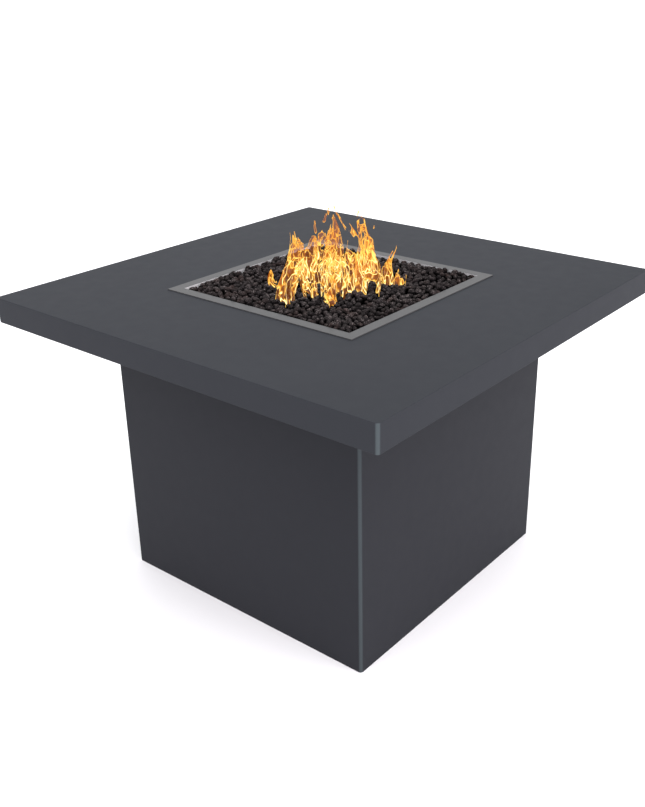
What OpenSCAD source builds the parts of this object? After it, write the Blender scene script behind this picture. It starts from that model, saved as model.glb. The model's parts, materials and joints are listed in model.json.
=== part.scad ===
// Square gas fire table: a folded steel top on a box base, with a drop-in burner pan of lava stones.
// Millimetres. +Z is up. The origin is on the floor, under the middle of the table.
// The front is -Y, the left is -X. The door is at the rear and the gas key is on the right.

/* [Table] */
// Width of the square top
top_w = 914; // [820:2:1000]
// Height of the top surface above the floor
top_h = 608; // [590:1:640]
// Depth of the folded skirt round the top
skirt_h = 50; // [40:1:60]
// Width of the lip turned in at the bottom of the skirt
lip_w = 20; // [15:1:30]
// Width of the square base
base_w = 608; // [600:2:640]
// Outside radius of the upright bends
corner_r = 6; // [5:0.5:8]
// Thickness of the coated sheet
sheet_t = 2.5; // [2:0.5:3]

/* [Burner pan] */
// Clear width of the square pan
pan_w = 410; // [390:2:420]
// Width of the pan's flange, which lies on the top
flange_w = 22.5; // [20:0.5:26]
// Thickness of the stainless sheet
pan_t = 2; // [1.5:0.5:2]
// Depth of the pan below the top surface
pan_depth = 88; // [86:1:92]
// Radius of the burner ring, to the middle of its tube
burner_r = 115; // [90:5:140]
// Number of gas ports round the burner ring
port_count = 20; // [12:2:30]

/* [Frames] */
// Leg of the angle in the top and bottom frames
frame_leg = 40; // [35:1:45]
// Thickness of that angle
frame_t = 4; // [3:0.5:5]
// Leg of the corner posts
post_leg = 30; // [30:1:40]
// Height of the bottom frame above the floor
frame_lift = 12; // [12:1:16]
// Distance of each levelling foot from the middle planes
foot_pos = 260; // [255:1:264]

/* [Access door] */
// Width of the door opening
door_w = 400; // [380:5:410]
// Height of the bottom of the door opening
door_low = 75; // [75:1:80]
// Height of the top of the door opening
door_high = 495; // [470:5:500]
// Gap round the door
door_gap = 3; // [2:0.5:4]
// Thickness of the door panel
door_t = 2; // [1.5:0.5:2]

/* [Gas line] */
// Height of the gas line
line_z = 482; // [478:1:484]
// Distance of the key valve in front of the middle plane
valve_off = 90; // [85:1:110]
// Outside radius of the flexible gas line
hose_r = 7; // [6:0.5:7]
// Bend radius of the gas line
hose_bend_r = 60; // [55:1:60]

/* [Hidden] */
$fn = 48;
eps = 1;                                    // how far a cutter runs past a face
seam = 0.2;                                 // overlap of welded pieces inside one part

half = base_w / 2;                          // outer face of the base
wall = half - sheet_t;                      // inner face of the base
under = top_h - sheet_t;                    // underside of the top sheet
skirt_z = top_h - skirt_h;
return_w = 28;                              // front wrap's return round each side corner
cutout_w = pan_w + 2 * pan_t + 4;           // hole in the top for the pan
pan_z = top_h - pan_depth;
pan_floor = pan_z + pan_t;

frame_w = 2 * wall;                         // outside of both frames
frame_r = corner_r - 1;                     // outside corner of both frames
low_frame_top = frame_lift + frame_leg;
high_frame_z = under - frame_leg;
bolt_x = 200;                               // bolt and anchor holes along each side
bolt_y = 280;                               // and across it
bolt_r = 4;
anchor_r = 5.5;

stud_r = 5;                                 // levelling foot
run = 0.05;                                 // radial clearance of a running fit
pad_r = 18;
pad_h = 7;

grate_z = pan_floor + 25;                   // underside of the grate's bars
grate_bar = 5;
grate_bar_h = 6;
grate_pitch = 44;
grate_half = pan_w / 2 - 5;
grate_top = grate_z + 2 * grate_bar_h - 1;
ring_z = pan_floor + 12;                    // middle of the burner's tube
ring_r = 9.5;
pipe_r = 10.65;                             // half-inch pipe, outside
pipe_bore = 8;

mixer_x = 32;                               // face of the elbow that the mixer screws into
mixer_end = 88;
valve_back = wall - 69.5;                   // end of the valve's rear port
valve_mid = wall - 34.5;                    // middle of the valve's plug
neck_r = 12;
stem_r = 5;
tang = 7;                                   // square end of the stem
hose_turn = 60;                             // degrees in each of the line's two bends

hinge_x = -door_w / 2 + door_gap / 2;
hinge_y = half + 4.5;
hinge_h = 60;
knuckles = 5;
hinge_zs = [door_low + 45, door_high - 45 - hinge_h];
door_mid = (door_low + door_high) / 2;
door_back = half - door_t;
jamb_t = 3;
jamb_in = 20;                               // how far the jamb shows inside the opening
screw_r = 1.5;
catch_z = door_mid;
knob_x = door_w / 2 - 30;
knob_z = door_mid + 45;

vent_y = 120;
vent_zs = [130, 470];
vent_w = 200;
vent_h = 70;
vent_t = 1.5;

foot_names = ["front_left", "front_right", "rear_left", "rear_right"];
foot_signs = [[-1, -1], [1, -1], [-1, 1], [1, 1]];

// ---- shared shapes ----

// A rectangle with true round corners.
module rounded_rect(w, h, r) {
    square([w - 2 * r, h], center = true);
    square([w, h - 2 * r], center = true);
    for (x = [-1, 1], y = [-1, 1])
        translate([x * (w / 2 - r), y * (h / 2 - r)]) circle(r);
}

// A slot with round ends.
module slot(length, width) {
    square([length - width, width], center = true);
    for (x = [-1, 1]) translate([x * (length - width) / 2, 0]) circle(width / 2);
}

// The base's wall in plan.
module base_outline() {
    difference() {
        rounded_rect(base_w, base_w, corner_r);
        rounded_rect(frame_w, frame_w, corner_r - sheet_t);
    }
}

// Stands a shape drawn in XY up on the rear face, looking out along +Y from y0.
module on_rear(y0, depth) {
    translate([0, y0 + depth, 0]) rotate([90, 0, 0]) linear_extrude(depth) children();
}

// Stands a shape drawn in YZ on the right side, looking out along +X from x0.
module on_right(x0, depth) {
    translate([x0, 0, 0]) rotate([90, 0, 90]) linear_extrude(depth) children();
}

// Cylinders along X and along Y.
module rod_x(r, from, to) {
    translate([from, 0, 0]) rotate([0, 90, 0]) cylinder(r = r, h = to - from);
}
module rod_y(r, from, to) {
    translate([0, from, 0]) rotate([-90, 0, 0]) cylinder(r = r, h = to - from);
}
module hex_x(r, from, to) {
    translate([from, 0, 0]) rotate([0, 90, 0]) cylinder(r = r, h = to - from, $fn = 6);
}

// A screw whose head sits on z = 0 and whose shank points down.
module screw(length, head_r = 3.4, head_h = 1.6) {
    difference() {
        cylinder(r1 = head_r, r2 = head_r - 0.9, h = head_h);
        translate([0, 0, head_h - 1]) cylinder(r = 1.3, h = 1 + eps, $fn = 6);
    }
    translate([0, 0, -length]) cylinder(r = screw_r, h = length + seam);
}

// Puts a child at the middle of both bolts on every side of a frame.
module at_bolts() {
    for (quarter = [0:3], x = [-1, 1])
        rotate([0, 0, 90 * quarter]) translate([x * bolt_x, bolt_y, 0]) children();
}

// ---- top ----

module table_top() {
    color("#50535a") difference() {
        translate([0, 0, skirt_z]) linear_extrude(skirt_h) rounded_rect(top_w, top_w, corner_r);
        translate([0, 0, skirt_z + sheet_t]) linear_extrude(skirt_h - 2 * sheet_t)
            rounded_rect(top_w - 2 * sheet_t, top_w - 2 * sheet_t, corner_r - sheet_t);
        translate([0, 0, skirt_z - eps]) linear_extrude(sheet_t + 2 * eps)
            square(top_w - 2 * lip_w, center = true);
        translate([0, 0, under - eps]) linear_extrude(sheet_t + 2 * eps)
            square(cutout_w, center = true);
    }
}

// ---- base ----

module base_front_wrap() {
    color("#50535a") linear_extrude(under) intersection() {
        base_outline();
        union() {
            translate([-half - eps, -half - eps]) square([base_w + 2 * eps, return_w + eps]);
            translate([-half - eps, -half - eps]) square([return_w + eps, base_w + 2 * eps]);
        }
    }
}

module base_rear_wrap() {
    color("#4c4f56") difference() {
        linear_extrude(under) intersection() {
            base_outline();
            translate([return_w - half, return_w - half]) square(base_w);
        }
        on_rear(wall - eps, sheet_t + 2 * eps) translate([0, door_mid])
            rounded_rect(door_w, door_high - door_low, 5);
        for (z = vent_zs) on_right(wall - eps, sheet_t + 2 * eps) translate([vent_y, z])
            rounded_rect(vent_w - 24, vent_h - 20, 3);
        at_vent_screws() rod_x(screw_r, wall - eps, half + eps);
        at_valve() rod_x(neck_r + 0.5, wall - eps, half + eps);
        at_hinge_screws(-1) rod_y(screw_r, wall - eps, half + eps);
    }
}

module corner_posts() {
    color("#303236") translate([0, 0, low_frame_top]) linear_extrude(high_frame_z - low_frame_top)
        intersection() {
            difference() {
                rounded_rect(frame_w, frame_w, frame_r);
                square(frame_w - 6, center = true);
            }
            for (x = [-1, 1], y = [-1, 1])
                translate([x * (wall - post_leg / 2), y * (wall - post_leg / 2)])
                    square(post_leg, center = true);
        }
}

module top_frame() {
    color("#303236") difference() {
        translate([0, 0, high_frame_z]) linear_extrude(frame_leg)
            rounded_rect(frame_w, frame_w, frame_r);
        translate([0, 0, high_frame_z - eps]) linear_extrude(frame_leg - frame_t + eps)
            square(frame_w - 2 * frame_t, center = true);
        linear_extrude(under + eps) square(frame_w - 2 * frame_leg, center = true);
        at_bolts() cylinder(r = bolt_r + 0.5, h = under + eps);
    }
}

module bottom_frame() {
    color("#303236") difference() {
        translate([0, 0, frame_lift]) linear_extrude(frame_leg)
            rounded_rect(frame_w, frame_w, frame_r);
        translate([0, 0, frame_lift + frame_t]) linear_extrude(frame_leg)
            square(frame_w - 2 * frame_t, center = true);
        difference() {
            linear_extrude(low_frame_top) square(frame_w - 2 * frame_leg, center = true);
            for (s = foot_signs) translate([s[0] * wall, s[1] * wall, 0])
                linear_extrude(low_frame_top) square(140, center = true);
        }
        for (s = foot_signs) {
            translate([s[0] * foot_pos, s[1] * foot_pos, 0])
                cylinder(r = stud_r + 0.5, h = low_frame_top);
            translate([s[0] * bolt_x, s[1] * bolt_y, 0])
                cylinder(r = anchor_r, h = low_frame_top);
        }
    }
}

module opening_frame() {
    inner = cutout_w + 4;
    color("#303236") translate([0, 0, under - 25]) difference() {
        linear_extrude(25) square(inner + 50, center = true);
        translate([0, 0, -eps]) linear_extrude(25 + 2 * eps) square(inner, center = true);
        translate([0, 0, -eps]) linear_extrude(22 + eps) difference() {
            square(inner + 60, center = true);
            square(inner + 6, center = true);
        }
    }
}

module top_studs() {
    color("silver") at_bolts() translate([0, 0, under - 22]) cylinder(r = bolt_r, h = 22);
}

module top_washers() {
    color("silver") at_bolts() translate([0, 0, under - frame_t - 1.6]) difference() {
        cylinder(r = 8.5, h = 1.6);
        translate([0, 0, -eps]) cylinder(r = bolt_r, h = 1.6 + 2 * eps);
    }
}

module top_nuts() {
    color("silver") at_bolts() translate([0, 0, under - frame_t - 8.1]) difference() {
        cylinder(r = 7.5, h = 6.5, $fn = 6);
        translate([0, 0, -eps]) cylinder(r = bolt_r, h = 6.5 + 2 * eps);
    }
}

// ---- levelling feet ----

module foot_weld_nuts() {
    color("silver") for (s = foot_signs)
        translate([s[0] * foot_pos, s[1] * foot_pos, frame_lift + frame_t]) difference() {
            cylinder(r = 9.8, h = 8, $fn = 6);
            translate([0, 0, -eps]) cylinder(r = stud_r + run, h = 8 + 2 * eps);
        }
}

module foot_pad(i) {
    color("#1c1c1e") translate([foot_signs[i][0] * foot_pos, foot_signs[i][1] * foot_pos, 0]) {
        cylinder(r = pad_r, h = pad_h - 3);
        translate([0, 0, pad_h - 3]) cylinder(r1 = pad_r, r2 = pad_r - 5, h = 3);
    }
}

module foot_stud(i) {
    color("silver") translate([foot_signs[i][0] * foot_pos, foot_signs[i][1] * foot_pos, pad_h]) {
        cylinder(r = 9, h = frame_lift - pad_h - 1, $fn = 6);
        cylinder(r = stud_r, h = 39);
    }
}

// ---- burner pan and what is in it ----

module burner_pan() {
    color("#c9c9c6") difference() {
        union() {
            translate([0, 0, top_h]) linear_extrude(pan_t)
                square(pan_w + 2 * flange_w, center = true);
            translate([0, 0, pan_z]) linear_extrude(pan_depth + pan_t)
                square(pan_w + 2 * pan_t, center = true);
        }
        translate([0, 0, pan_floor]) linear_extrude(pan_depth + eps) square(pan_w, center = true);
        translate([0, 0, pan_z - eps]) cylinder(r = 11, h = pan_t + 2 * eps);
        for (x = [-1, 1], y = [-1, 1]) translate([x * 145, y * 145, pan_z - eps])
            cylinder(r = 6, h = pan_t + 2 * eps);
    }
}

// Bars along X with bars along Y welded half into them, a rim and four legs.
module rock_grate() {
    count = floor(grate_half / grate_pitch);
    span = 2 * grate_half;
    color("#4a4643") {
        for (i = [-count:count]) {
            translate([-grate_half, i * grate_pitch - grate_bar / 2, grate_z])
                cube([span, grate_bar, grate_bar_h]);
            translate([i * grate_pitch - grate_bar / 2, -grate_half, grate_z + grate_bar_h - 1])
                cube([grate_bar, span, grate_bar_h]);
        }
        translate([0, 0, grate_z]) linear_extrude(grate_top - grate_z) difference() {
            square(span, center = true);
            square(span - 2 * grate_bar, center = true);
        }
        for (x = [-1, 1], y = [-1, 1])
            translate([x * count * grate_pitch, y * count * grate_pitch, (pan_floor + grate_z) / 2])
                cube([grate_bar, grate_bar, grate_z - pan_floor], center = true);
    }
}

// The whole bed as one block, heaped a little in the middle.
module lava_rock_bed() {
    color("#3a3230") {
        translate([0, 0, grate_top]) linear_extrude(top_h - 8 - grate_top)
            square(pan_w - 3, center = true);
        translate([0, 0, top_h - 9]) linear_extrude(5) square(pan_w - 110, center = true);
    }
}

module burner_ring() {
    color("#b5b3ae") difference() {
        union() {
            translate([0, 0, ring_z]) rotate_extrude() translate([burner_r, 0]) circle(ring_r);
            translate([0, 0, ring_z]) rod_x(ring_r - 1, -burner_r, burner_r);
            translate([0, 0, pan_floor]) cylinder(r = 17, h = 24);
        }
        translate([0, 0, ring_z]) rotate_extrude() translate([burner_r, 0]) circle(ring_r - 1.5);
        translate([0, 0, ring_z]) rod_x(ring_r - 2.5, -burner_r, burner_r);
        translate([0, 0, pan_floor - eps]) cylinder(r = pipe_r, h = 18 + eps);
        for (i = [0:port_count - 1])
            rotate([0, 0, (i + 0.5) * 360 / port_count]) translate([burner_r, 0, ring_z])
                cylinder(r = 1.3, h = ring_r + eps, $fn = 24);
    }
}

module burner_nipple() {
    color("#8d8a86") translate([0, 0, line_z + 8]) difference() {
        cylinder(r = pipe_r, h = pan_floor + 8 - line_z - 8);
        translate([0, 0, -eps]) cylinder(r = pipe_bore, h = 100);
    }
}

module pan_washer() {
    color("silver") translate([0, 0, pan_z - 2]) difference() {
        cylinder(r = 19, h = 2);
        translate([0, 0, -eps]) cylinder(r = pipe_r, h = 2 + 2 * eps);
    }
}

module pan_locknut() {
    color("silver") translate([0, 0, pan_z - 11]) difference() {
        cylinder(r = 17, h = 9, $fn = 6);
        translate([0, 0, -eps]) cylinder(r = pipe_r, h = 9 + 2 * eps);
    }
}

// ---- gas line ----

module gas_elbow() {
    color("#b8964a") translate([0, 0, line_z]) difference() {
        union() {
            sphere(15.5);
            cylinder(r = 14, h = 21);
            translate([0, 0, 15]) cylinder(r = 16, h = 6);
            rod_x(14, 0, mixer_x);
            rod_x(16, mixer_x - 6, mixer_x);
        }
        translate([0, 0, 8]) cylinder(r = pipe_r, h = 20);
        translate([0, 0, -6]) cylinder(r = pipe_bore, h = 20);
        rod_x(6, 0, mixer_x);
        rod_x(pipe_r, mixer_x - 14, mixer_x + eps);
    }
}

module air_mixer() {
    color("#b8964a") translate([0, 0, line_z]) difference() {
        union() {
            rod_x(pipe_r, mixer_x - 14, mixer_x + 2);
            rod_x(13, mixer_x, mixer_x + 34);
            hex_x(15.5, mixer_x + 33, mixer_x + 41);
            rod_x(hose_r + 1, mixer_x + 40, mixer_end);
        }
        rod_x(5, mixer_x - 15, mixer_end + eps);
        translate([mixer_x + 18, 0, 0]) rod_y(3.5, -20, 20);
        translate([mixer_x + 18, 0, -20]) cylinder(r = 3, h = 40);
    }
}

// A nut that holds the end of the gas line; wide_low puts its wide bore at the lower X end.
module flare_nut(from, to, face, wide_low) {
    difference() {
        hex_x(13.5, from, to);
        rod_x(hose_r, from - eps, to + eps);
        if (wide_low) rod_x(hose_r + 1, from - eps, face);
        else rod_x(hose_r + 1, face, to + eps);
    }
}

module mixer_flare_nut() {
    color("#b8964a") translate([0, 0, line_z]) flare_nut(mixer_end - 14, mixer_end + 8, mixer_end, true);
}

module valve_flare_nut() {
    color("#b8964a") translate([0, -valve_off, line_z])
        flare_nut(valve_back - 8, valve_back + 14, valve_back, false);
}

// Half of the line, from its middle point to the valve.
module hose_half() {
    sweep_x = hose_bend_r * sin(hose_turn);
    sweep_y = hose_bend_r * (1 - cos(hose_turn));
    drop = valve_off / 2 - sweep_y;
    bend_x = drop / tan(hose_turn) + sweep_x;
    rotate([0, 0, -hose_turn]) rod_x(hose_r, 0, drop / sin(hose_turn));
    translate([bend_x, hose_bend_r - valve_off / 2, 0]) rotate([0, 0, 270 - hose_turn])
        rotate_extrude(angle = hose_turn) translate([hose_bend_r, 0]) circle(hose_r);
    translate([0, -valve_off / 2, 0]) rod_x(hose_r, bend_x, (valve_back - mixer_end) / 2);
}

// Two opposite bends with a straight between them, in one level plane.
module gas_hose() {
    color("#c4a646") translate([(mixer_end + valve_back) / 2, -valve_off / 2, line_z])
        for (turn = [0, 180]) rotate([0, 0, turn]) hose_half();
}

// ---- key valve ----

module at_valve() {
    translate([0, -valve_off, line_z]) children();
}

module valve_body() {
    color("#b8964a") at_valve() difference() {
        union() {
            rod_x(hose_r + 1, valve_back, valve_mid - 15);
            rod_x(17, valve_mid - 17, valve_mid + 17);
            rod_x(neck_r, valve_mid + 16, half + 5);
            translate([valve_mid, 0, -34]) cylinder(r = 11, h = 34);
            translate([valve_mid, 0, -34]) cylinder(r = 14, h = 10, $fn = 6);
            translate([valve_mid, 0, -50]) cylinder(r = 9.5, h = 18);
        }
        rod_x(4, valve_back - eps, valve_mid);
        rod_x(stem_r + run, valve_mid - 11, valve_mid + 18);
        rod_x(8, valve_mid + 17, half + 6);
        translate([valve_mid, 0, -51]) cylinder(r = 4, h = 51);
    }
}

module valve_locknut() {
    color("#b8964a") at_valve() difference() {
        hex_x(19, wall - 9, wall);
        rod_x(neck_r, wall - 10, wall + eps);
    }
}

module valve_escutcheon() {
    color("#dcdcdc") at_valve() difference() {
        translate([half, 0, 0]) rotate([0, 90, 0]) cylinder(r1 = 27, r2 = 23, h = 3);
        rod_x(neck_r, half - eps, half + 4);
    }
}

// The plug has a side port and an end port, and a square tang for the key.
module valve_stem() {
    color("#b8964a") at_valve() difference() {
        union() {
            rod_x(stem_r, valve_mid - 10, valve_mid + 20);
            translate([valve_mid + 26, 0, 0]) cube([14, tang, tang], center = true);
        }
        rod_x(3, valve_mid - 11, valve_mid);
        translate([valve_mid, 0, -stem_r - eps]) cylinder(r = 2.9, h = stem_r + eps);
    }
}

module valve_key() {
    socket = tang + 0.6;
    color("#e2e2e2") at_valve() difference() {
        union() {
            rod_x(7, valve_mid + 24, half + 26);
            rod_x(4, half + 25, half + 80);
            translate([half + 80, 0, -32]) cylinder(r = 4.5, h = 64);
            for (z = [-32, 32]) translate([half + 80, 0, z]) sphere(5.5);
        }
        translate([valve_mid + 30, 0, 0]) cube([14, socket, socket], center = true);
    }
}

// ---- access door ----

module door_jamb() {
    color("#303236") on_rear(wall - jamb_t, jamb_t) translate([0, door_mid]) difference() {
        rounded_rect(door_w + 40, door_high - door_low + 40, 8);
        rounded_rect(door_w - 2 * jamb_in, door_high - door_low - 2 * jamb_in, 5);
    }
}

module access_door() {
    panel_w = door_w - 2 * door_gap;
    panel_h = door_high - door_low - 2 * door_gap;
    color("#50535a") difference() {
        on_rear(door_back, door_t) difference() {
            translate([0, door_mid]) rounded_rect(panel_w, panel_h, 4);
            for (end = [-1, 1], row = [0:2], x = [-1, 1])
                translate([x * 56, door_mid + end * (105 + 15 * row)]) slot(92, 6);
        }
        at_hinge_screws(1) rod_y(screw_r, door_back - eps, half + eps);
        translate([knob_x, 0, knob_z]) rod_y(2.5, door_back - eps, half + eps);
    }
}

// A channel that runs round the back of the door.
module door_stiffener() {
    outer_w = door_w - 120;
    outer_h = door_high - door_low - 80;
    depth = 12;
    color("#303236") difference() {
        on_rear(door_back - depth, depth) translate([0, door_mid]) difference() {
            rounded_rect(outer_w, outer_h, 6);
            rounded_rect(outer_w - 48, outer_h - 48, 4);
        }
        on_rear(door_back - depth + 1.5, depth) translate([0, door_mid]) difference() {
            rounded_rect(outer_w - 3, outer_h - 3, 4.5);
            rounded_rect(outer_w - 45, outer_h - 45, 5.5);
        }
    }
}

module door_knob() {
    profile = [[0, 0], [7, 0], [5, 5], [5.5, 9], [11, 14], [12, 18], [10, 21], [0, 22]];
    color("#dcdcdc") translate([knob_x, half, knob_z]) rotate([-90, 0, 0]) {
        rotate_extrude() polygon(profile);
        translate([0, 0, -7]) cylinder(r = 2.5, h = 7 + seam);
    }
}

module knob_nut() {
    color("silver") translate([knob_x, door_back - 4, knob_z]) rotate([-90, 0, 0]) difference() {
        cylinder(r = 4.6, h = 4, $fn = 6);
        translate([0, 0, -eps]) cylinder(r = 2.5, h = 4 + 2 * eps);
    }
}

module door_strike() {
    color("silver") translate([door_w / 2 - 42, door_back - 1, catch_z - 12]) cube([18, 1, 24]);
}

module magnet_catch() {
    face = door_back - 1.5;
    color("#1c1c1e") difference() {
        union() {
            translate([door_w / 2 - 42, face - 16, catch_z - 14]) cube([21.5, 16, 28]);
            translate([door_w / 2 - 42, wall - jamb_t - 3, catch_z - 14]) cube([48, 3, 28]);
        }
        for (z = [-10, 2]) translate([door_w / 2 - 39, face - 5, catch_z + z]) cube([14, 6, 8]);
        at_catch_screws() rod_y(screw_r, wall - jamb_t - 4, wall);
    }
}

module catch_magnets() {
    face = door_back - 1.5;
    color("silver") for (z = [-10, 2])
        translate([door_w / 2 - 39, face - 5, catch_z + z]) cube([14, 5, 8]);
}

module at_catch_screws() {
    for (z = [-8, 8]) translate([door_w / 2 - 2, 0, catch_z + z]) children();
}

module catch_screws() {
    color("silver") at_catch_screws() translate([0, wall - jamb_t - 3, 0]) rotate([90, 0, 0]) screw(3);
}

// ---- hinges ----

module at_hinge_screws(side) {
    for (z = hinge_zs, along = [15, hinge_h - 15])
        translate([hinge_x + side * 22, 0, z + along]) children();
}

// One leaf with its own knuckles, cleared round the other leaf's.
module hinge_leaf(side, own, other, bore) {
    pitch = hinge_h / knuckles;
    leaf_w = 32;
    difference() {
        union() {
            translate([side > 0 ? 0.5 : -leaf_w, -4.5, 0]) cube([leaf_w - 0.5, 2, hinge_h]);
            for (k = own) translate([0, 0, k * pitch + 0.2]) cylinder(r = 4, h = pitch - 0.4);
        }
        for (k = other) translate([0, 0, k * pitch - 0.2]) cylinder(r = 4.5, h = pitch + 0.4);
        translate([0, 0, -eps]) cylinder(r = bore, h = hinge_h + 2 * eps);
    }
}

module hinge_leaves_fixed() {
    color("silver") difference() {
        for (z = hinge_zs) translate([hinge_x, hinge_y, z]) hinge_leaf(-1, [0, 2, 4], [1, 3], 2);
        at_hinge_screws(-1) rod_y(screw_r, half - eps, half + 3);
    }
}

module hinge_leaves_door() {
    color("silver") difference() {
        for (z = hinge_zs)
            translate([hinge_x, hinge_y, z]) hinge_leaf(1, [1, 3], [0, 2, 4], 2 + run);
        at_hinge_screws(1) rod_y(screw_r, half - eps, half + 3);
    }
}

module hinge_pins() {
    color("silver") for (z = hinge_zs) translate([hinge_x, hinge_y, z]) {
        translate([0, 0, -0.3]) cylinder(r = 2, h = hinge_h + 0.6);
        for (end = [-1.8, hinge_h + 0.3]) translate([0, 0, end]) cylinder(r = 3.2, h = 1.5);
    }
}

module hinge_screws_fixed() {
    color("silver") at_hinge_screws(-1) translate([0, half + 2, 0]) rotate([-90, 0, 0]) screw(4.5);
}

module hinge_screws_door() {
    color("silver") at_hinge_screws(1) translate([0, half + 2, 0]) rotate([-90, 0, 0]) screw(4);
}

// ---- vents ----

module at_vent_screws() {
    for (z = vent_zs, y = [-1, 1], up = [-1, 1])
        translate([0, vent_y + y * (vent_w / 2 - 6), z + up * (vent_h / 2 - 6)]) children();
}

module vent_grilles() {
    color("#c9c9c6") difference() {
        for (z = vent_zs) on_right(half, vent_t) translate([vent_y, z]) difference() {
            rounded_rect(vent_w, vent_h, 5);
            for (row = [-2:2]) translate([0, row * 9]) slot(vent_w - 36, 5);
        }
        at_vent_screws() rod_x(screw_r, half - eps, half + vent_t + eps);
    }
}

module vent_screws() {
    color("silver") at_vent_screws() translate([half + vent_t, 0, 0]) rotate([0, 90, 0]) screw(4);
}

table_top();
base_front_wrap();
base_rear_wrap();
corner_posts();
top_frame();
bottom_frame();
opening_frame();
top_studs();
top_washers();
top_nuts();
foot_weld_nuts();
burner_pan();
rock_grate();
lava_rock_bed();
burner_ring();
burner_nipple();
pan_washer();
pan_locknut();
gas_elbow();
air_mixer();
mixer_flare_nut();
gas_hose();
valve_flare_nut();
valve_body();
valve_locknut();
valve_escutcheon();
valve_stem();
valve_key();
door_jamb();
access_door();
door_stiffener();
door_knob();
knob_nut();
door_strike();
magnet_catch();
catch_magnets();
catch_screws();
hinge_leaves_fixed();
hinge_leaves_door();
hinge_pins();
hinge_screws_fixed();
hinge_screws_door();
vent_grilles();
vent_screws();
for (i = [0:3]) foot_pad(i);
for (i = [0:3]) foot_stud(i);
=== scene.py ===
"""A square gas fire table: powder-coated steel, a stainless burner pan, lava stones and a fire."""
import json
import math

import bmesh
import bpy
import numpy as np
from mathutils import Matrix, Vector


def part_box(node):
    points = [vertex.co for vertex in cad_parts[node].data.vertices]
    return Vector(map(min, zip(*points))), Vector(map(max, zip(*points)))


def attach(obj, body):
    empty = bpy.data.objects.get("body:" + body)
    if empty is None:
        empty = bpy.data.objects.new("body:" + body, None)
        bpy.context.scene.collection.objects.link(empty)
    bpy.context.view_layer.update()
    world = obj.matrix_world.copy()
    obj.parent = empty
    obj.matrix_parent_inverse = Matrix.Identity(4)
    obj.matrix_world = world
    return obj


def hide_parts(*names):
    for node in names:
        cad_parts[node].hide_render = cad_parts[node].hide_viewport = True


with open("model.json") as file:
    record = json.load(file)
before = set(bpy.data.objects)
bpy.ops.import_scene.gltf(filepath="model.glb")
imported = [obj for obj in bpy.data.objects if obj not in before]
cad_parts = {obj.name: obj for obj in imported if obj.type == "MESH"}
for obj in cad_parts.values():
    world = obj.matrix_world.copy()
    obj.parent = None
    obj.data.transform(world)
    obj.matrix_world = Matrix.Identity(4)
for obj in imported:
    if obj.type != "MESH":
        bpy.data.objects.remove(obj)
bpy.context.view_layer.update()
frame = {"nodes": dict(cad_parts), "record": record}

NODES = frame["nodes"]
BODY_OF = {n: body for body, nodes in frame["record"]["behaviour"]["bodies"].items() for n in nodes}
SLOT_OF = {part["node"]: part["material_slot"] for part in frame["record"]["subparts"]}
MM = 0.001
SEED = 20


# ---- helpers ----

def frame_body(node):
    """The body that a CAD node moves with."""
    return BODY_OF[node]


def slot_of(node):
    """The material slot of a CAD node."""
    return SLOT_OF[node]


def link(obj):
    bpy.context.scene.collection.objects.link(obj)
    return obj


def mesh_object(name, verts, faces):
    mesh = bpy.data.meshes.new(name)
    mesh.from_pydata([tuple(v) for v in verts], [], [tuple(f) for f in faces])
    mesh.update()
    mesh.shade_smooth()
    return link(bpy.data.objects.new(name, mesh))


def paint(obj, *materials):
    obj.data.materials.clear()
    for material in materials:
        obj.data.materials.append(material)


class Shader:
    """A material's node tree, built with short calls."""

    def __init__(self, name):
        self.material = bpy.data.materials.new(name)
        self.material.use_nodes = True
        self.tree = self.material.node_tree
        self.tree.nodes.clear()
        self.out = self.tree.nodes.new("ShaderNodeOutputMaterial")

    def put(self, value, socket):
        if isinstance(value, bpy.types.NodeSocket):
            self.tree.links.new(value, socket)
        else:
            socket.default_value = value

    def node(self, kind, inputs=None, **settings):
        node = self.tree.nodes.new("ShaderNode" + kind)
        for key, value in settings.items():
            setattr(node, key, value)
        for key, value in (inputs or {}).items():
            self.put(value, node.inputs[key])
        return node

    def place(self):
        """Position in metres, in the object's own frame."""
        return self.node("TexCoord").outputs["Object"]

    def math(self, operation, a, b=0.0, c=0.0, clamp=False):
        node = self.node("Math", {0: a, 1: b, 2: c}, operation=operation, use_clamp=clamp)
        return node.outputs[0]

    def stretch(self, vector, scale):
        node = self.node("Mapping", {"Vector": vector, "Scale": scale})
        return node.outputs[0]

    def noise(self, vector, scale, detail=2.0, roughness=0.5):
        inputs = {"Vector": vector, "Scale": scale, "Detail": detail, "Roughness": roughness}
        return self.node("TexNoise", inputs).outputs[0]

    def spread(self, value, low, high, from_low=0.0, from_high=1.0):
        """Maps value from one range to another, clamped."""
        inputs = {0: value, 1: from_low, 2: from_high, 3: low, 4: high}
        return self.node("MapRange", inputs).outputs[0]

    def mix(self, amount, a, b):
        node = self.node("Mix", {0: amount, 6: a, 7: b}, data_type="RGBA")
        return node.outputs[2]

    def ramp(self, value, stops):
        node = self.node("ValToRGB", {0: value})
        elements = node.color_ramp.elements
        while len(elements) < len(stops):
            elements.new(0.5)
        for element, (where, colour) in zip(elements, stops):
            element.position = where
            element.color = colour
        return node.outputs[0]

    def bump(self, height, strength, distance, normal=None):
        inputs = {"Height": height, "Strength": strength, "Distance": distance}
        if normal is not None:
            inputs["Normal"] = normal
        return self.node("Bump", inputs).outputs[0]

    def principled(self, **inputs):
        names = {key.replace("_", " "): value for key, value in inputs.items()}
        node = self.node("BsdfPrincipled", names)
        self.put(node.outputs[0], self.out.inputs[0])
        return self.material


def rgb(red, green, blue):
    return (red, green, blue, 1.0)


# ---- camera, light and floor ----

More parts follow.
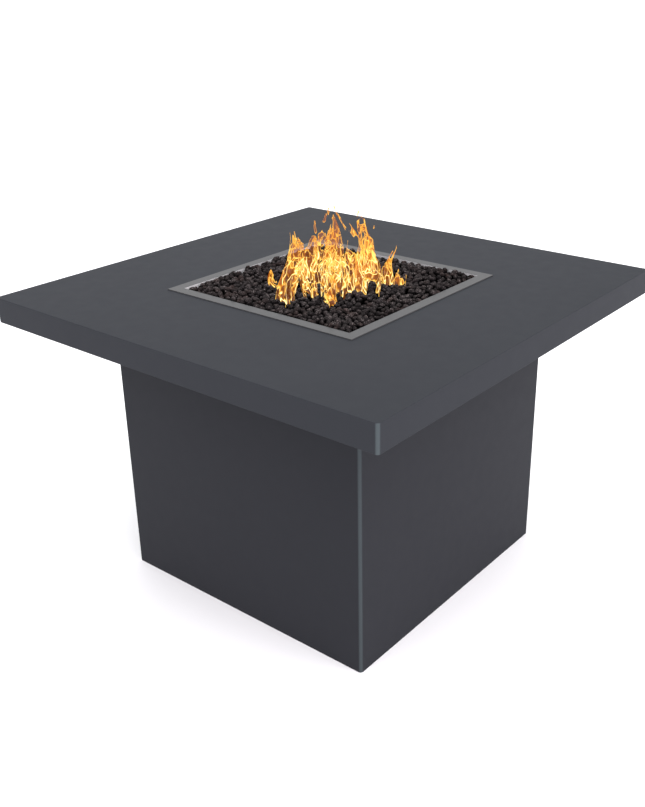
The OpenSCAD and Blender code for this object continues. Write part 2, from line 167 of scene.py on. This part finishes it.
EYE = Vector((-1.4410, -1.2004, 1.2027))
AZIMUTH, ELEVATION, ROLL = -51.273, 23.696, -0.556      # degrees
SENSOR, LENS = 36.0, 44.297                             # millimetres, along the picture's longer side
SHIFT_X, SHIFT_Y = -0.03637, -0.01837                   # the picture is cropped off centre
FLOOR_HALF = 60.0                                       # metres


def make_camera():
    azimuth, elevation, roll = (math.radians(a) for a in (AZIMUTH, ELEVATION, ROLL))
    forward = Vector((-math.sin(azimuth) * math.cos(elevation), math.cos(azimuth) * math.cos(elevation),
                      -math.sin(elevation)))
    right = forward.cross(Vector((0, 0, 1))).normalized()
    up = right.cross(forward)
    turned_right = math.cos(roll) * right + math.sin(roll) * up
    turned_up = math.cos(roll) * up - math.sin(roll) * right
    data = bpy.data.cameras.new("camera")
    data.sensor_width = SENSOR
    data.lens = LENS
    data.shift_x, data.shift_y = SHIFT_X, SHIFT_Y
    camera = link(bpy.data.objects.new("camera", data))
    rotation = Matrix((turned_right, turned_up, -forward)).transposed().to_4x4()
    camera.matrix_world = Matrix.Translation(EYE) @ rotation
    bpy.context.scene.camera = camera


def make_sun(name, toward, strength, width_deg, colour):
    data = bpy.data.lights.new(name, "SUN")
    data.energy = strength
    data.angle = math.radians(width_deg)
    data.color = colour
    sun = link(bpy.data.objects.new(name, data))
    sun.rotation_euler = Vector(toward).to_track_quat("-Z", "Y").to_euler()


def make_studio():
    scene = bpy.context.scene
    scene.view_settings.view_transform = "Standard"
    scene.cycles.transparent_max_bounces = 48       # the fire is many see-through sheets, one behind another
    world = bpy.data.worlds.new("studio")
    world.use_nodes = True
    world.node_tree.nodes["Background"].inputs[0].default_value = (0.98, 0.99, 1.0, 1.0)
    world.node_tree.nodes["Background"].inputs[1].default_value = 1.0
    scene.world = world
    make_sun("overhead", (0.10, 0.15, -1.0), 1.9, 80, (0.95, 1.0, 1.0))
    make_sun("front", (0.10, 1.0, -0.35), 2.5, 70, (1.0, 0.89, 0.97))
    make_sun("left", (1.0, 0.15, -0.35), 0.85, 70, (1.0, 0.80, 0.95))
    make_sun("rear_right", (-0.8, -1.0, -0.2), 0.3, 60, (1.0, 0.97, 1.0))

    far = FLOOR_HALF
    floor = mesh_object("floor", [(-far, -far, 0), (far, -far, 0), (far, far, 0), (-far, far, 0)],
                        [(0, 1, 2, 3)])
    shader = Shader("floor")
    speck = shader.noise(shader.place(), 3.0, 3.0)
    tone = shader.mix(speck, rgb(0.90, 0.90, 0.90), rgb(0.92, 0.92, 0.92))
    paint(floor, shader.principled(Base_Color=tone, Roughness=0.95, Specular_IOR_Level=0.0))


# ---- materials ----

PAINTED_SHADE_HEIGHTS = (0.548, 0.556)      # metres above the floor: below these heights the coat gets painted shade, as if shaded by the top
PAN_INSIDE = 0.206              # metres from the middle to the pan's inner walls


def powder_coat():
    """Satin dark grey coat with an orange-peel skin, a painted highlight on the upright bends and painted
    shade under the top.
    """
    shader = Shader("powder_coat")
    place = shader.place()
    # bend: the mask of the painted highlight, from the true normal's x times y, strongest on the upright
    # bends
    normal = shader.node("SeparateXYZ", {0: shader.node("NewGeometry").outputs["True Normal"]})
    bend = shader.math("MULTIPLY", normal.outputs[0], normal.outputs[1])
    bend = shader.spread(shader.math("ABSOLUTE", bend), 0.0, 1.0, 0.03, 0.38)
    cloud = shader.noise(place, 7.0, 3.0, 0.55)
    grain = shader.noise(place, 1900.0, 1.0)
    coat = shader.mix(shader.spread(cloud, 0.0, 1.0, 0.3, 0.7), rgb(0.0246, 0.0266, 0.0311),
                      rgb(0.0252, 0.0272, 0.0318))
    coat = shader.mix(shader.spread(grain, 0.0, 0.10, 0.35, 0.75), coat, rgb(0.042, 0.044, 0.050))
    # painted highlight: up to 80 % of the way to a lighter blue-grey on the upright bends
    coat = shader.mix(shader.math("MULTIPLY", bend, 0.8), coat, rgb(0.063, 0.078, 0.083))
    height = shader.node("SeparateXYZ", {0: place}).outputs[2]
    painted_shade_under_top = shader.spread(height, 0.22, 0.0, *PAINTED_SHADE_HEIGHTS)
    # painted shade: the coat 22 % of the way to near-black below the top, where the top overhangs
    coat = shader.mix(painted_shade_under_top, coat, rgb(0.004, 0.002, 0.003))
    rough = shader.spread(shader.noise(place, 40.0, 3.0), 0.56, 0.60, 0.3, 0.7)
    peel = shader.noise(place, 620.0, 1.5, 0.4)
    skin = shader.bump(peel, 0.10, 0.0004, shader.bump(grain, 0.05, 0.0001))
    return shader.principled(Base_Color=coat, Roughness=rough, Normal=skin, Specular_IOR_Level=0.06)


def frame_paint():
    shader = Shader("frame_paint")
    place = shader.place()
    cloud = shader.noise(place, 30.0, 4.0)
    paint_tone = shader.mix(cloud, rgb(0.018, 0.018, 0.020), rgb(0.032, 0.032, 0.034))
    rough = shader.spread(cloud, 0.5, 0.68)
    skin = shader.bump(shader.noise(place, 500.0, 2.0), 0.15, 0.0004)
    return shader.principled(Base_Color=paint_tone, Roughness=rough, Normal=skin)


def brushed(name, low, high, roughness, along=None, shine=1.0, wall=None):
    """Brushed metal. along is the axis of the brushing, or None for a flange of four mitred strips.

    wall is a painted light: a lighter tone for the standing faces inside the pan, as if lit, and goes with
    along=None.
    """
    shader = Shader(name)
    place = shader.place()
    scales = {0: (6.0, 900.0, 900.0), 1: (900.0, 6.0, 900.0), 2: (900.0, 900.0, 6.0)}
    if along is None:
        parts = shader.node("SeparateXYZ", {0: place}).outputs
        side = shader.math("SUBTRACT", shader.math("ABSOLUTE", parts[0]), shader.math("ABSOLUTE", parts[1]))
        on_side = shader.math("GREATER_THAN", side, 0.0)
        lines_x = shader.noise(shader.stretch(place, scales[0]), 1.0, 3.0, 0.6)
        lines_y = shader.noise(shader.stretch(place, scales[1]), 1.0, 3.0, 0.6)
        lines = shader.node("Mix", {0: on_side, 2: lines_x, 3: lines_y}).outputs[0]
        mitre = shader.spread(shader.math("ABSOLUTE", side), 0.72, 1.0, 0.0001, 0.0007)
    else:
        lines = shader.noise(shader.stretch(place, scales[along]), 1.0, 3.0, 0.6)
        mitre = None
    smear = shader.noise(place, 18.0, 4.0, 0.6)
    tone = shader.mix(shader.spread(lines, 0.0, 1.0, 0.3, 0.7), low, high)
    tone = shader.mix(shader.spread(smear, 0.0, 0.25, 0.45, 0.8), tone, low)
    if mitre is not None:
        tone = shader.mix(mitre, rgb(0.05, 0.05, 0.05), tone)
    if wall is not None:
        # painted light: the pan's inner walls take the much lighter wall tone, as if lit
        up = shader.node("SeparateXYZ", {0: shader.node("NewGeometry").outputs["True Normal"]}).outputs[2]
        reach = shader.math("MAXIMUM", shader.math("ABSOLUTE", parts[0]), shader.math("ABSOLUTE", parts[1]))
        painted_wall_light = shader.math("MULTIPLY", shader.spread(shader.math("ABSOLUTE", up), 1.0, 0.0, 0.1, 0.6),
                              shader.math("LESS_THAN", reach, PAN_INSIDE))
        tone = shader.mix(painted_wall_light, tone, wall)
    rough = shader.spread(lines, roughness - 0.05, roughness + 0.08, 0.25, 0.75)
    skin = shader.bump(lines, 0.12, 0.0002)
    return shader.principled(Base_Color=tone, Metallic=shine, Roughness=rough, Normal=skin)


def plated(name, low, high, roughness, metallic=1.0):
    """Plain metal with faint clouding and fine machining."""
    shader = Shader(name)
    place = shader.place()
    cloud = shader.noise(place, 120.0, 4.0, 0.6)
    fine = shader.noise(place, 2200.0, 2.0)
    tone = shader.mix(shader.spread(cloud, 0.0, 1.0, 0.3, 0.7), low, high)
    rough = shader.spread(cloud, roughness, roughness + 0.12, 0.35, 0.7)
    skin = shader.bump(fine, 0.06, 0.0001)
    return shader.principled(Base_Color=tone, Metallic=metallic, Roughness=rough, Normal=skin)


def moulded(name, low, high):
    shader = Shader(name)
    place = shader.place()
    grain = shader.noise(place, 1400.0, 2.0)
    tone = shader.mix(shader.noise(place, 60.0, 3.0), low, high)
    return shader.principled(Base_Color=tone, Roughness=shader.spread(grain, 0.5, 0.65),
                             Normal=shader.bump(grain, 0.25, 0.0002))


def lava():
    """Porous charcoal rock: pores in the bump, painted shade in the pores, on the stones' sides and
    undersides and low in the gaps, and a tone of its own for each stone.
    """
    shader = Shader("lava_stone")
    place = shader.place()
    stone = shader.node("NewGeometry").outputs["Random Per Island"]
    pores = shader.node("TexVoronoi", {"Vector": place, "Scale": 340.0, "Randomness": 1.0}).outputs[0]
    pit = shader.spread(pores, 0.0, 1.0, 0.18, 0.50)
    crumb = shader.noise(place, 300.0, 6.0, 0.72)
    # low: the painted shade in the gaps, 0 near the heap's surface and 1 deep between the stones
    low = shader.node("Attribute", attribute_name="low").outputs[2]
    dark = shader.mix(stone, rgb(0.008, 0.0065, 0.0065), rgb(0.026, 0.021, 0.021))
    light = shader.mix(stone, rgb(0.092, 0.077, 0.077), rgb(0.330, 0.278, 0.268))
    tone = shader.mix(shader.spread(crumb, 0.0, 1.0, 0.36, 0.68), dark, light)
    # painted shade: the pores up to 80 % of the way to near-black, as if shaded inside
    tone = shader.mix(shader.math("MULTIPLY", pit, 0.8), tone, rgb(0.004, 0.0035, 0.0035))
    rust = shader.spread(shader.noise(place, 26.0, 2.0), 0.0, 0.4, 0.5, 0.7)
    tone = shader.mix(rust, tone, rgb(0.060, 0.034, 0.028))
    # painted shade: the stones darken to near-black where their faces turn sideways or down, away from the
    # light above
    up = shader.node("SeparateXYZ", {0: shader.node("NewGeometry").outputs["Normal"]}).outputs[2]
    tone = shader.mix(shader.spread(up, 0.97, 0.0, 0.15, 0.95), tone, rgb(0.003, 0.0025, 0.0025))
    # painted shade: the stones go near-black low in the gaps between them
    tone = shader.mix(low, tone, rgb(0.0012, 0.001, 0.001))
    skin = shader.bump(pit, 0.7, 0.0016, shader.bump(crumb, 1.0, 0.0024))
    return shader.principled(Base_Color=tone, Roughness=0.85, Normal=skin, Specular_IOR_Level=0.05)


def flame():
    """Fire on thin sheets: orange tongues with holes, outlined and veined with bright filaments."""
    shader = Shader("flame")
    place = shader.place()
    rise = shader.node("Attribute", attribute_name="rise").outputs[2]

    def drift(scale, amount, start):
        """start, pushed about by coarse noise."""
        coarse = {"Vector": shader.stretch(start, scale), "Scale": 1.0, "Detail": 1.0}
        source = shader.node("TexNoise", coarse)
        push = shader.node("VectorMath", {0: source.outputs[1], 1: (-0.5, -0.5, -0.5)}, operation="ADD")
        push = shader.node("VectorMath", {0: push.outputs[0], 1: (amount, amount, amount * 1.6)},
                           operation="MULTIPLY")
        return shader.node("VectorMath", {0: start, 1: push.outputs[0]}, operation="ADD").outputs[0]

    bent = drift((24.0, 24.0, 14.0), 0.040, place)
    curled = drift((70.0, 70.0, 30.0), 0.012, bent)
    tongues = shader.noise(shader.stretch(curled, (44.0, 44.0, 13.0)), 1.0, 2.0, 0.45)
    veins = shader.noise(shader.stretch(curled, (60.0, 60.0, 16.0)), 1.0, 1.5, 0.5)

    taper = shader.math("MULTIPLY", shader.math("POWER", rise, 1.5), -1.0)
    root = shader.spread(rise, -0.55, 0.0, 0.0, 0.16)
    body = shader.math("MULTIPLY_ADD", shader.math("SUBTRACT", tongues, 0.5), 4.2, 0.36)
    body = shader.math("ADD", shader.math("ADD", body, taper), root)
    inside = shader.spread(body, 0.0, 1.0, 0.0, 0.05)
    outline = shader.math("MULTIPLY", inside, shader.spread(body, 1.0, 0.0, 0.04, 0.22))
    contour = shader.math("COSINE", shader.math("MULTIPLY", veins, 24.0))
    vein = shader.math("POWER", shader.math("MAXIMUM", contour, 0.0), 6.0)
    vein = shader.math("MULTIPLY", vein, shader.spread(rise, 1.0, 0.25, 0.35, 0.9))
    glow = shader.math("MAXIMUM", shader.math("MULTIPLY", outline, 0.8), vein)
    veil = shader.spread(rise, 0.14, 0.30, 0.1, 0.9)
    alpha = shader.math("MULTIPLY", inside, shader.math("MULTIPLY_ADD", glow, 0.85, veil), clamp=True)
    heat = shader.math("MULTIPLY_ADD", glow, 0.66, shader.spread(rise, 0.26, 0.10))
    tone = shader.ramp(heat, [(0.0, rgb(0.60, 0.10, 0.015)), (0.25, rgb(0.95, 0.26, 0.03)),
                              (0.50, rgb(1.0, 0.42, 0.045)), (0.76, rgb(1.0, 0.72, 0.17)),
                              (1.0, rgb(1.0, 0.95, 0.66))])
    light = shader.node("Emission", {"Color": tone, "Strength": shader.spread(heat, 0.75, 2.0)}).outputs[0]
    clear = shader.node("BsdfTransparent").outputs[0]
    shader.put(shader.node("MixShader", {0: alpha, 1: clear, 2: light}).outputs[0], shader.out.inputs[0])
    return shader.material


# ---- sheet metal with rounded edges ----

EDGE_SEGMENTS = 2
SHARP_DEG = 35.0            # only edges sharper than this are rounded
MERGE_WITHIN = 0.00001      # metres
FLAT_WITHIN_DEG = 0.5       # faces that differ by less become one


def softened(node, name, width):
    """A copy of a CAD node whose flat faces are whole again and whose edges are rounded."""
    mesh = NODES[node].data.copy()
    mesh.name = name
    piece = link(bpy.data.objects.new(name, mesh))
    work = bmesh.new()
    work.from_mesh(mesh)
    bmesh.ops.remove_doubles(work, verts=work.verts, dist=MERGE_WITHIN)
    flat = math.radians(FLAT_WITHIN_DEG)
    bmesh.ops.dissolve_limit(work, angle_limit=flat, verts=work.verts, edges=work.edges)
    work.to_mesh(mesh)
    work.free()
    if mesh.has_custom_normals:
        mesh.attributes.remove(mesh.attributes["custom_normal"])
    mesh.shade_smooth()
    bevel = piece.modifiers.new("edges", "BEVEL")
    bevel.width = width
    bevel.segments = EDGE_SEGMENTS
    bevel.limit_method = "ANGLE"
    bevel.angle_limit = math.radians(SHARP_DEG)
    bevel.harden_normals = True
    bevel.use_clamp_overlap = True
    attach(piece, frame_body(node))
    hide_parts(node)
    return piece


# ---- lava stones ----

# The heap's surface.
CROWN = 3.0 * MM                                # how far its middle stands above its edge
SWELL = 1.2 * MM
KNOLL_X, KNOLL_Y = -60 * MM, -104 * MM          # one knoll, at the front left
KNOLL_HEIGHT, KNOLL_SPREAD = 8 * MM, 24 * MM

# Two layers of stones. A drop is measured from the pan's rim down to the heap's edge. A gap is the least
# distance between two stones' middles, seen from above. A margin keeps the middles off the pan's wall.
STONE_SHAPES = 16
TOP_DROP, TOP_GAP, TOP_MARGIN, TOP_TRIES = 4.2 * MM, 9.8 * MM, 5 * MM, 60000
TOP_RADII = (4.6, 6.2, 9.0)                     # millimetres: least, most common, largest
TOP_JITTER = 2.2                                # millimetres up or down
DEEP_DROP, DEEP_GAP, DEEP_MARGIN, DEEP_TRIES = 14.5 * MM, 11.0 * MM, 6 * MM, 30000
DEEP_RADII = (5.6, 7.6)                         # millimetres: least, largest
PAINTED_SHADE_DROP, PAINTED_SHADE_DEPTH = 3.2 * MM, 5.0 * MM    # painted shade: the stones darken from this surface down, over this depth, into the gaps between them
CORE_DROP = 20 * MM                             # the plain core under the stones


def sphere_points(levels):
    work = bmesh.new()
    bmesh.ops.create_icosphere(work, subdivisions=levels, radius=1.0)
    work.verts.ensure_lookup_table()
    points = np.array([v.co for v in work.verts])
    faces = np.array([[v.index for v in f.verts] for f in work.faces])
    work.free()
    return points, faces


def rough_stone(random, points):
    """A unit ball knocked flat on several sides, then dented and lumped."""
    stone = points.copy()
    for _ in range(9):
        side = random.normal(size=3)
        side /= np.linalg.norm(side)
        over = np.maximum(stone @ side - random.uniform(0.62, 0.95), 0.0)
        stone -= over[:, None] * side * 0.9
    for _ in range(16):
        side = random.normal(size=3)
        side /= np.linalg.norm(side)
        near = np.exp(-((1.0 - points @ side) / random.uniform(0.03, 0.14)))
        stone *= 1.0 + (random.uniform(-0.24, 0.16) * near)[:, None]
    return stone * random.uniform(0.85, 1.2, size=3)


def turn_matrices(random, count):
    quats = random.normal(size=(count, 4))
    quats /= np.linalg.norm(quats, axis=1)[:, None]
    w, x, y, z = quats.T
    rows = [1 - 2 * (y * y + z * z), 2 * (x * y - z * w), 2 * (x * z + y * w),
            2 * (x * y + z * w), 1 - 2 * (x * x + z * z), 2 * (y * z - x * w),
            2 * (x * z - y * w), 2 * (y * z + x * w), 1 - 2 * (x * x + y * y)]
    return np.stack(rows, axis=1).reshape(count, 3, 3)


def scatter(random, half, gap, tries):
    """Places in a square, none nearer to another than gap."""
    cell = gap / math.sqrt(2)
    size = int(2 * half / cell) + 1
    grid = {}
    places = []
    for spot in random.uniform(-half, half, size=(tries, 2)):
        i, j = int((spot[0] + half) / cell), int((spot[1] + half) / cell)
        near = [grid.get((a, b)) for a in range(i - 2, i + 3) for b in range(j - 2, j + 3)]
        if all(n is None or np.hypot(*(spot - n)) >= gap for n in near):
            grid[min(i, size), min(j, size)] = spot
            places.append(spot)
    return np.array(places)


def heap(places, edge_z, half):
    """Height of the stones' middles: a low mound with one knoll and small swells."""
    u, v = (places / half).T
    from_knoll = (places[:, 0] - KNOLL_X) ** 2 + (places[:, 1] - KNOLL_Y) ** 2
    knoll = KNOLL_HEIGHT * np.exp(-from_knoll / KNOLL_SPREAD ** 2)
    mound = knoll + CROWN * np.clip(1 - u ** 2, 0, 1) * np.clip(1 - v ** 2, 0, 1)
    swell = SWELL * (np.sin(u * 9 + 1.3) * np.cos(v * 11 - 0.4) + np.sin(u * 4.1 - v * 5.7))
    return edge_z + mound + swell


def stone_mesh(random, places, heights, radii, shapes, faces):
    count = len(places)
    turns = turn_matrices(random, count)
    choice = random.integers(0, len(shapes), count)
    verts = np.einsum("nij,nvj->nvi", turns, np.array(shapes)[choice]) * radii[:, None, None]
    verts[:, :, 0] += places[:, 0, None]
    verts[:, :, 1] += places[:, 1, None]
    verts[:, :, 2] += heights[:, None]
    step = len(shapes[0])
    all_faces = (faces[None] + (np.arange(count) * step)[:, None, None]).reshape(-1, 3)
    return verts.reshape(-1, 3), all_faces


def make_stones(material):
    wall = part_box("lava_rock_bed")[1].x
    rim_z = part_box("burner_pan")[1].z
    random = np.random.default_rng(SEED)
    ball, ball_faces = sphere_points(2)
    shapes = [rough_stone(random, ball) for _ in range(STONE_SHAPES)]
    pieces = []

    top_places = scatter(random, wall - TOP_MARGIN, TOP_GAP, TOP_TRIES)
    top_radii = random.triangular(*TOP_RADII, len(top_places)) * MM
    jitter = random.uniform(-TOP_JITTER, TOP_JITTER, len(top_places)) * MM
    top_z = heap(top_places, rim_z - TOP_DROP, wall) + jitter
    deep_places = scatter(random, wall - DEEP_MARGIN, DEEP_GAP, DEEP_TRIES)
    deep_radii = random.uniform(*DEEP_RADII, len(deep_places)) * MM
    deep_z = heap(deep_places, rim_z - DEEP_DROP, wall)

    quarters = [(-1, -1), (1, -1), (-1, 1), (1, 1)]
    names = ["front_left", "front_right", "rear_left", "rear_right"]
    for (sx, sy), name in zip(quarters, names):
        verts, faces = [], []
        start = 0
        for places, heights, radii in ((top_places, top_z, top_radii), (deep_places, deep_z, deep_radii)):
            mine = (places[:, 0] * sx >= 0) & (places[:, 1] * sy >= 0)
            v, f = stone_mesh(random, places[mine], heights[mine], radii[mine], shapes, ball_faces)
            verts.append(v)
            faces.append(f + start)
            start += len(v)
        verts = np.concatenate(verts)
        piece = mesh_object("lava_stones_" + name, verts, np.concatenate(faces))
        # the attribute low carries the painted shade in the gaps between the stones
        depth = heap(verts[:, :2], rim_z - PAINTED_SHADE_DROP, wall) - verts[:, 2]
        attribute = piece.data.attributes.new("low", "FLOAT", "POINT")
        attribute.data.foreach_set("value", np.clip(depth / PAINTED_SHADE_DEPTH, 0, 1))
        pieces.append(piece)

    base = softened("lava_rock_bed", "lava_bed_core", 0.5 * MM)
    for vertex in base.data.vertices:
        vertex.co.z = min(vertex.co.z, rim_z - CORE_DROP)
    paint(base, material)
    for piece in pieces:
        paint(piece, material)
        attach(piece, frame_body("lava_rock_bed"))
        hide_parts("lava_rock_bed")


# ---- fire ----

ROWS, AROUND = 40, 28                   # points of a lick's tube, upwards and round it
ROOT_DROP = 6 * MM                      # how far under the pan's rim the licks start
STRETCH = 1.12                          # every height in LICKS is multiplied by this
WISP_UNDER, WISP_RANGE = 100, 130       # licks lower than the first start part of the way up their fade


def lick(random, foot, radius, height, lean):
    """One lick of flame: a crumpled tube that bends and closes upwards. Returns its points, row by row."""
    phase = random.uniform(0, 2 * math.pi, 6)
    sway = 0.13 * height
    points = []
    for i in range(ROWS):
        t = i / (ROWS - 1)
        middle = Vector(foot) + Vector((lean[0] * t * t, lean[1] * t * t, height * t))
        middle.x += sway * t * math.sin(phase[0] + 5.6 * t)
        middle.y += sway * t * math.sin(phase[1] + 5.1 * t)
        full = radius * (0.78 + 0.30 * math.sin(math.pi * min(1.6 * t, 1.0))) * (1 - t) ** 0.85
        for j in range(AROUND):
            turn = 2 * math.pi * j / AROUND
            crumple = (1 + 0.22 * math.sin(2 * turn + phase[2] + 3 * t)
                       + 0.16 * math.sin(3 * turn + phase[3] - 5 * t)
                       + 0.10 * math.sin(5 * turn + phase[4] + 8 * t))
            drop = 0.10 * height * (1 - t) ** 6 * math.sin(3 * turn + phase[5])
            points.append((middle.x + full * crumple * math.cos(turn),
                           middle.y + full * crumple * math.sin(turn), middle.z + drop))
    return points


# Where the fire stands on the stones, in millimetres: x, y, radius, height, lean in x and in y.
LICKS = [
    (-146, -6, 20, 178, 34, -26),
    (-98, -26, 19, 96, 2, 5),
    (-80, -62, 25, 194, 4, 2),
    (-52, -80, 24, 184, -2, 4),
    (-20, -98, 29, 182, 6, -4),
    (-106, -84, 13, 62, 0, 4),
    (48, -92, 15, 84, 14, -14),
    (66, -112, 12, 56, 12, -12),
    (-92, 72, 11, 60, -10, 8),
    (-96, 44, 14, 58, -8, 4),
    (-2, -4, 30, 140, 4, 4),
    (36, 42, 26, 116, 0, 6),
    (-38, 24, 26, 132, -4, 6),
    (44, -42, 26, 128, 6, -6),
    (76, 66, 24, 96, 4, 4),
    (88, -8, 18, 84, 6, -4),
    (-8, 84, 20, 92, -2, 6),
]


def make_fire(material):
    random = np.random.default_rng(SEED + 1)
    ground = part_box("burner_pan")[1].z - ROOT_DROP
    verts, faces, rises = [], [], []
    for x, y, radius, height, lean_x, lean_y in LICKS:
        foot = (x * MM, y * MM, ground)
        lean = (lean_x * MM, lean_y * MM)
        start = len(verts)
        verts += lick(random, foot, radius * MM, STRETCH * height * MM, lean)
        wisp = max(0.0, (WISP_UNDER - height) / WISP_RANGE)
        rises += [wisp + (1 - wisp) * i / (ROWS - 1) for i in range(ROWS) for _ in range(AROUND)]
        for i in range(ROWS - 1):
            for j in range(AROUND):
                a, b = start + i * AROUND + j, start + i * AROUND + (j + 1) % AROUND
                faces.append((a, b, b + AROUND, a + AROUND))
    fire = mesh_object("fire", verts, faces)
    attribute = fire.data.attributes.new("rise", "FLOAT", "POINT")
    attribute.data.foreach_set("value", np.array(rises))
    paint(fire, material)
    fire.visible_shadow = False
    fire.visible_diffuse = False
    fire.visible_glossy = False


# ---- gas line ----

def make_hose(material):
    """The corrugated line, along the route of its CAD node: two equal and opposite bends."""
    low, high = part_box("gas_hose")
    radius = (high.z - low.z) / 2
    bend, turn = 0.060, math.radians(60)
    start = Vector((low.x, high.y - radius, high.z - radius))
    end = Vector((high.x, low.y + radius, start.z))
    offset = start.y - end.y
    middle = (offset - 2 * bend * (1 - math.cos(turn))) / math.sin(turn)
    lead = (end.x - start.x - 2 * bend * math.sin(turn) - middle * math.cos(turn)) / 2
    lengths = [lead, bend * turn, middle, bend * turn, lead]
    curves = [0, -1 / bend, 0, 1 / bend, 0]
    pitch, per_rib, rib_depth = 3.2 * MM, 8, 0.0009
    total = sum(lengths)
    steps = int(total / pitch * per_rib)
    place, heading, travelled = start.copy(), 0.0, 0.0
    stations = []
    for i in range(steps + 1):
        stations.append((place.copy(), heading, travelled))
        step = total / steps
        reach = 0.0
        curve = curves[-1]
        for length, c in zip(lengths, curves):
            reach += length
            if travelled + step / 2 <= reach:
                curve = c
                break
        heading += curve * step / 2
        place = place + Vector((math.cos(heading), math.sin(heading), 0)) * step
        heading += curve * step / 2
        travelled += step
    sides = 28
    verts, faces = [], []
    for place, heading, travelled in stations:
        r = radius - rib_depth * (0.5 - 0.5 * math.cos(2 * math.pi * travelled / pitch))
        normal = Vector((-math.sin(heading), math.cos(heading), 0))
        for k in range(sides):
            angle = 2 * math.pi * k / sides
            verts.append(place + normal * (r * math.cos(angle)) + Vector((0, 0, r * math.sin(angle))))
    rings = len(stations)
    for i in range(rings - 1):
        for k in range(sides):
            n = (k + 1) % sides
            faces.append((i * sides + k, i * sides + n, (i + 1) * sides + n, (i + 1) * sides + k))
    faces.append(tuple(reversed(range(sides))))
    faces.append(tuple((rings - 1) * sides + k for k in range(sides)))
    hose = mesh_object("gas_line_corrugated", verts, faces)
    paint(hose, material)
    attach(hose, frame_body("gas_hose"))
    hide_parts("gas_hose")


# ---- build ----

make_camera()
make_studio()

LOOKS = {
    "powder_coat": powder_coat(),
    "frame_paint": frame_paint(),
    # the pan's inner walls are painted as lit: 0.66 against the flange's 0.06 to 0.07
    "pan_stainless": brushed("pan_stainless", rgb(0.059, 0.059, 0.0593), rgb(0.070, 0.070, 0.0704), 0.5,
                             shine=0.35, wall=rgb(0.66, 0.66, 0.66)),
    "vent_stainless": brushed("vent_stainless", rgb(0.36, 0.36, 0.35), rgb(0.52, 0.52, 0.51), 0.30, along=2),
    "raw_steel": plated("raw_steel", rgb(0.06, 0.05, 0.045), rgb(0.14, 0.12, 0.11), 0.5),
    "burner_stainless": plated("burner_stainless", rgb(0.34, 0.30, 0.26), rgb(0.50, 0.47, 0.44), 0.32),
    "zinc": plated("zinc", rgb(0.46, 0.47, 0.50), rgb(0.62, 0.63, 0.66), 0.28),
    "brass": plated("brass", rgb(0.52, 0.36, 0.13), rgb(0.70, 0.50, 0.21), 0.26),
    "hose_steel": plated("hose_steel", rgb(0.62, 0.44, 0.06), rgb(0.76, 0.56, 0.10), 0.34, metallic=0.3),
    "chrome": plated("chrome", rgb(0.50, 0.50, 0.51), rgb(0.60, 0.60, 0.61), 0.09),
    "magnet": plated("magnet", rgb(0.28, 0.28, 0.29), rgb(0.40, 0.40, 0.41), 0.3),
    "black_nylon": moulded("black_nylon", rgb(0.014, 0.014, 0.015), rgb(0.026, 0.026, 0.027)),
    "lava_stone": lava(),
}
for name, obj in NODES.items():
    paint(obj, LOOKS[slot_of(name)])

SOFT_EDGES = {
    "table_top": 1.2 * MM,
    "base_front_wrap": 0.6 * MM,
    "base_rear_wrap": 0.6 * MM,
    "access_door": 0.6 * MM,
    "burner_pan": 0.6 * MM,
    "vent_grilles": 0.4 * MM,
    "hinge_leaves_fixed": 0.35 * MM,
    "hinge_leaves_door": 0.35 * MM,
}
for name, width in SOFT_EDGES.items():
    paint(softened(name, name + "_finished", width), LOOKS[slot_of(name)])

make_stones(LOOKS["lava_stone"])
make_hose(LOOKS["hose_steel"])
make_fire(flame())
